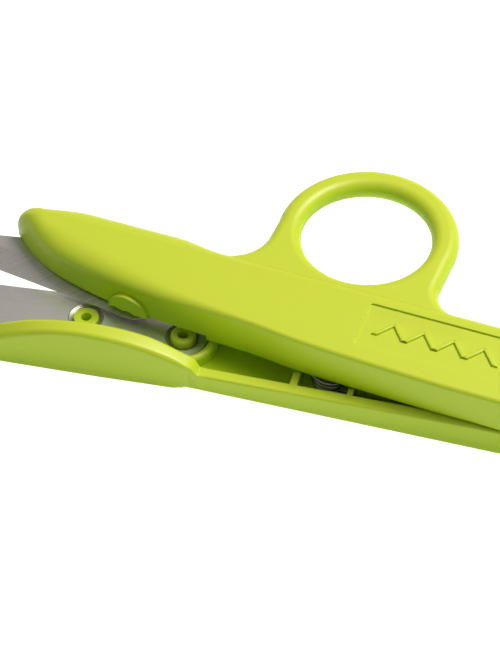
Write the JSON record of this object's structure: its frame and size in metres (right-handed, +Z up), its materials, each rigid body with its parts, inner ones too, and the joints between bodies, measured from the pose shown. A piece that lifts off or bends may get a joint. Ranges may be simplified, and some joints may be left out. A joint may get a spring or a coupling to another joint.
{
  "type": "thread snips",
  "caption": "Small spring-opened thread snips with a finger ring, a thumb pad and two pointed steel blades hinged at the tail.",
  "frame": {"origin": "on the hinge axis, at the flat underside of the lower arm", "axes": "+Z up from the rest face along the hinge axis, +X towards the tail with the blades pointing to -X, +Y towards the finger ring"},
  "size_m": [0.1284, 0.0512, 0.013],
  "materials": {
    "lime_plastic": "moulded lime-green plastic, satin gloss",
    "blade_steel": "ground stainless steel",
    "spring_steel": "bright drawn wire",
    "zinc_screw": "zinc-plated steel"
  },
  "bodies": {
    "thumb_arm": {"thumb_handle": "lime_plastic", "lower_blade": "blade_steel", "return_spring": "spring_steel", "pivot_screw": "zinc_screw", "pivot_washer": "zinc_screw"},
    "ring_arm": {"ring_handle": "lime_plastic", "upper_blade": "blade_steel"}
  },
  "joints": [
    {"name": "tail_hinge", "type": "hinge", "parent": "thumb_arm", "child": "ring_arm", "pos_m": [0, 0, 0.008], "axis": [0, 0, 1], "range_deg": [0, 5.3], "stiffness_Nm_per_rad": 1, "springref_deg": -3.44, "deforming": ["return_spring"]}
  ]
}
